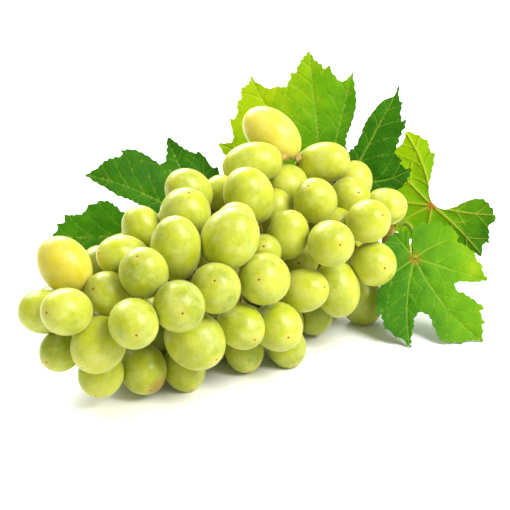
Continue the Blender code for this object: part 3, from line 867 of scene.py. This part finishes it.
def blade(name, leaf):
    """The blade laid out flat: its toothed outline, points along the veins and a grid between them, joined
    into triangles, and the vein lines. make_leaf turns it into a thin sheet with sunken or raised veins,
    wavy between them.
    """
    rim = toothed(softened(blade_rim(name, leaf)), len(name))
    outline = np.array([tuple(p) for p in rim])
    starts, ends = outline, np.roll(outline, -1, axis=0)
    mains = [bowed(Vector((0, 0)), Vector(tip[:2]), tip[2], 16) for tip in leaf["veins"]]
    sides = [vein for main in mains for vein in side_veins(main, mains, rim)]
    lines = [(main, *MAIN_VEIN) for main in mains] + [(side, *SIDE_VEIN) for side in sides]
    extra = []
    for line, thick, thin in lines:
        for i, point in enumerate(line):
            along = (line[min(i + 1, len(line) - 1)] - line[max(i - 1, 0)]).normalized()
            across = Vector((-along.y, along.x))
            radius = thick + (thin - thick) * i / (len(line) - 1)
            for step in (-2.2, -1.0, 0.0, 1.0, 2.2):
                extra.append(point + across * step * radius)
                if i + 1 < len(line):
                    extra.append(point.lerp(line[i + 1], 0.5) + across * step * radius)
    low, high = outline.min(axis=0), outline.max(axis=0)
    grid = []
    row = 0
    y = low[1]
    while y < high[1]:
        x = low[0] + LEAF_GRID * 0.5 * (row % 2)
        while x < high[0]:
            grid.append((x, y))
            x += LEAF_GRID
        y += LEAF_GRID * 0.866
        row += 1
    grid = np.array(grid)
    extra = np.array([tuple(p) for p in extra])
    keep = inside(grid, rim)
    grid = grid[keep]
    to_rim, _ = to_segments(grid, starts, ends)
    grid = grid[to_rim.min(axis=1) > LEAF_GRID * 0.45]
    apart = np.linalg.norm(grid[:, None, :] - extra[None], axis=2).min(axis=1)
    grid = grid[apart > 0.5]
    extra = extra[inside(extra, rim)]
    to_rim, _ = to_segments(extra, starts, ends)
    extra = extra[to_rim.min(axis=1) > 0.15]
    flat = [Vector(p) for p in np.concatenate([outline, extra, grid])]
    count = len(outline)
    edges = [(i, (i + 1) % count) for i in range(count)]
    places, _, triangles, _, _, _ = geometry.delaunay_2d_cdt(flat, edges, [], 1, 1e-4)
    return np.array([tuple(p) for p in places]), triangles, lines


def vein_depth(points, lines):
    """For each point: how much it lies on a vein, and the distance to the nearest main vein."""
    mask = np.zeros(len(points))
    main_distance = np.full(len(points), 1e3)
    for line, thick, thin in lines:
        line_points = np.array([tuple(p) for p in line])
        distance, share = to_segments(points, line_points[:-1], line_points[1:])
        nearest = distance.argmin(axis=1)
        rows = np.arange(len(points))
        near = distance[rows, nearest]
        position = (nearest + share[rows, nearest]) / (len(line) - 1)
        radius = thick + (thin - thick) * position
        is_main = thick == MAIN_VEIN[0]
        strength = 1.0 if is_main else 0.55
        mask = np.maximum(mask, strength * np.clip(1.7 - near / radius, 0, 1))
        if is_main:
            main_distance = np.minimum(main_distance, near)
    return mask, main_distance


def make_leaf(name, leaf, seed):
    across, up, out = leaf_axes(leaf)
    joint = at(leaf["joint"])
    flat, triangles, lines = blade(name, leaf)
    mask, main_distance = vein_depth(flat, lines)
    radius = np.hypot(flat[:, 0], flat[:, 1])
    wave = np.array([noise.noise(Vector((x * 0.035, y * 0.035, seed * 3.3))) for x, y in flat])
    ripple = np.array([noise.noise(Vector((x * 0.13, y * 0.13, seed * 5.1))) for x, y in flat])
    puff = (1 - np.exp(-main_distance / 5.0)) * 0.9
    turned = -1.0 if leaf["ribs"] > 0 else 1.0
    height = -leaf["cup"] * radius ** 2 + wave * np.minimum(radius * 0.06, 2.0) + ripple * 0.35
    height = height + (puff - 0.4) * turned + leaf["ribs"] * mask
    # painted light and shade across the blade: lighter where light falls on it, darker away from it
    shade_at_joint, shade_across, shade_up = leaf["shading_and_tone"]
    shading_and_tone = np.clip(shade_at_joint + (flat[:, 0] * shade_across + flat[:, 1] * shade_up) / 50, 0, 1)
    knot = np.exp(-(radius / 2.4) ** 2)
    points = []
    marks = []
    places = []
    for half in (0.5, -0.5):
        for i, (x, y) in enumerate(flat):
            level = height[i] + half * LEAF_THICKNESS
            if half < 0 and leaf["ribs"] < 0:
                level += leaf["ribs"] * mask[i] * 1.4
            points.append(joint + (across * x + up * y + out * level) * MM)
            marks.append((mask[i], shading_and_tone[i], knot[i], 1.0))
            places.append((x + seed * 100, y, 0.0))
    count = len(flat)
    faces = [tuple(t) for t in triangles]
    area = sum(float(np.cross(flat[b] - flat[a], flat[c] - flat[a])) for a, b, c in faces[:50])
    if area < 0:
        faces = [tuple(reversed(f)) for f in faces]
    seen = [edge for a, b, c in faces for edge in ((a, b), (b, c), (c, a))]
    paired = set(seen)
    open_edges = [(a, b) for a, b in seen if (b, a) not in paired]
    under = [(c + count, b + count, a + count) for a, b, c in faces]
    walls = [(b, a, a + count, b + count) for a, b in open_edges]
    mesh = bpy.data.meshes.new(name)
    mesh.from_pydata(points, [], faces + under + walls)
    mesh.shade_smooth()
    mesh.set_sharp_from_angle(angle=math.radians(70))
    stalk_path = smooth_path([at(p) for p in leaf["stalk"]], 8)

    def stalk_radius(share):
        return STALK_RADIUS * (1 + 0.35 * math.exp(-share / 0.06) + 0.5 * math.exp(-(1 - share) / 0.08))
    stalk = tube(name + "_stalk", stalk_path, stalk_radius, 16, 0.06)
    bm = bmesh.new()
    bm.from_mesh(mesh)
    blade_count = len(bm.verts)
    bm.from_mesh(stalk)
    bm.to_mesh(mesh)
    total = len(bm.verts)
    bm.free()
    marks += [(1.0, 0.5, 0.1, 1.0)] * (total - blade_count)
    places += [tuple(v.co * 1000) for v in mesh.vertices[blade_count:]]
    mark_field = mesh.attributes.new("leaf_marks_and_shading", "FLOAT_COLOR", "POINT")
    mark_field.data.foreach_set("color", np.array(marks, np.float32).ravel())
    place_field = mesh.attributes.new("leaf_place", "FLOAT_VECTOR", "POINT")
    place_field.data.foreach_set("vector", np.array(places, np.float32).ravel())
    made = bpy.data.objects.new(name.replace("leaf", "vine_leaf"), mesh)
    bpy.context.scene.collection.objects.link(made)
    return made


# ---- the shot ----
def make_floor():
    mesh = bpy.data.meshes.new("floor")
    half = 4.0
    corners = [(-half, -half, 0), (half, -half, 0), (half, half, 0), (-half, half, 0)]
    mesh.from_pydata(corners, [], [(0, 1, 2, 3)])
    floor = bpy.data.objects.new("floor", mesh)
    bpy.context.scene.collection.objects.link(floor)
    n = Nodes("floor")
    n.set(Roughness=0.35, Specular_IOR_Level=0.25)
    n.shader.inputs["Base Color"].default_value = (0.93, 0.93, 0.93, 1.0)
    mesh.materials.append(n.material)


def add_light(name, place, size, power, colour, aim=(0, 0, 40)):
    light = bpy.data.lights.new(name, "AREA")
    light.shape = "RECTANGLE"
    light.size, light.size_y = size
    light.energy = power
    light.color = colour
    lamp = bpy.data.objects.new(name, light)
    lamp.location = Vector(place)
    lamp.rotation_euler = (Vector(place) - at(aim)).to_track_quat("Z", "Y").to_euler()
    bpy.context.scene.collection.objects.link(lamp)


def make_lights():
    world = bpy.data.worlds.new("studio")
    world.use_nodes = True
    sky = world.node_tree.nodes["Background"]
    sky.inputs["Color"].default_value = (1.0, 1.0, 1.0, 1.0)
    sky.inputs["Strength"].default_value = 0.5
    bpy.context.scene.world = world
    add_light("key", (0.6, -0.4, 0.8), (0.45, 0.6), 15.0, (1.0, 0.99, 0.98))
    add_light("back", (-0.35, 0.75, 0.65), (0.9, 0.4), 18.0, (1.0, 1.0, 0.99))
    bpy.context.scene.view_settings.view_transform = "Standard"


def make_camera():
    tilt = math.radians(CAMERA_ELEVATION)
    camera = bpy.data.cameras.new("camera")
    camera.lens = CAMERA_LENS
    camera.sensor_width = 36.0
    camera.clip_start = 0.01
    seat = bpy.data.objects.new("camera", camera)
    back = Vector((0, -math.cos(tilt), math.sin(tilt)))
    seat.location = at(CAMERA_TARGET) + back * CAMERA_DISTANCE * MM
    seat.rotation_euler = (math.radians(90) - tilt, 0, 0)
    bpy.context.scene.collection.objects.link(seat)
    bpy.context.scene.camera = seat


def finish_piece(piece, material, slot, *nodes):
    piece.data.materials.append(material)
    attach(piece, "root")
    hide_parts(*nodes)


def make_berries(berries):
    skins = {
        "skin": skin_material("skin", paint(140, 156, 10), paint(182, 190, 26), paint(208, 210, 70), 0.42),
        "skin_gold": skin_material("skin_gold", paint(198, 182, 26), paint(217, 203, 50),
                                   paint(227, 215, 96), 0.3),
        # a darker copy of the skin for the joined rows at the back and underneath: painted shade
        "skin_shade": skin_material("skin_shade", paint(122, 138, 12), paint(158, 168, 26),
                                    paint(188, 194, 64), 0.4),
    }
    directions = berry_directions()
    for node in sorted({berry.node for berry in berries}):
        members = [berry for berry in berries if berry.node == node]
        # the joined rows of berries get the darker copy, which paints their shade
        kind = "skin_gold" if "gold" in node else "skin_shade" if node.startswith("berries") else "skin"
        name = node.replace("berry", "grape").replace("berries", "grapes")
        finish_piece(berry_object(name, members, berries, directions), skins[kind], kind, node)


def make_leaves():
    # the ramps run from shaded dark green to lit yellow-green, along the painted light and shade and its
    # random patches
    upper = leaf_material("leaf", [(0.05, paint(24, 78, 2)), (0.35, paint(54, 114, 3)),
                                   (0.65, paint(96, 150, 4)), (0.95, paint(156, 182, 6))],
                          paint(158, 184, 66), 0.5)
    under = leaf_material("leaf_underside", [(0.05, paint(36, 96, 3)), (0.5, paint(104, 158, 5)),
                                             (0.95, paint(158, 190, 8))], paint(196, 180, 62), 0.75)
    for seed, (name, leaf) in enumerate(LEAVES.items()):
        kind, material = ("leaf_underside", under) if name == "leaf_right" else ("leaf", upper)
        finish_piece(make_leaf(name, leaf, seed + 1), material, kind, name)


def main():
    berries = read_berries()
    make_berries(berries)
    bark = stem_material("stem", paint(128, 134, 50), paint(104, 74, 34), paint(206, 160, 84))
    finish_piece(make_stems(berries), bark, "stem", "rachis")
    finish_piece(make_cane(), cane_material(), "cane", "cane")
    make_leaves()
    make_floor()
    make_lights()
    make_camera()


main()
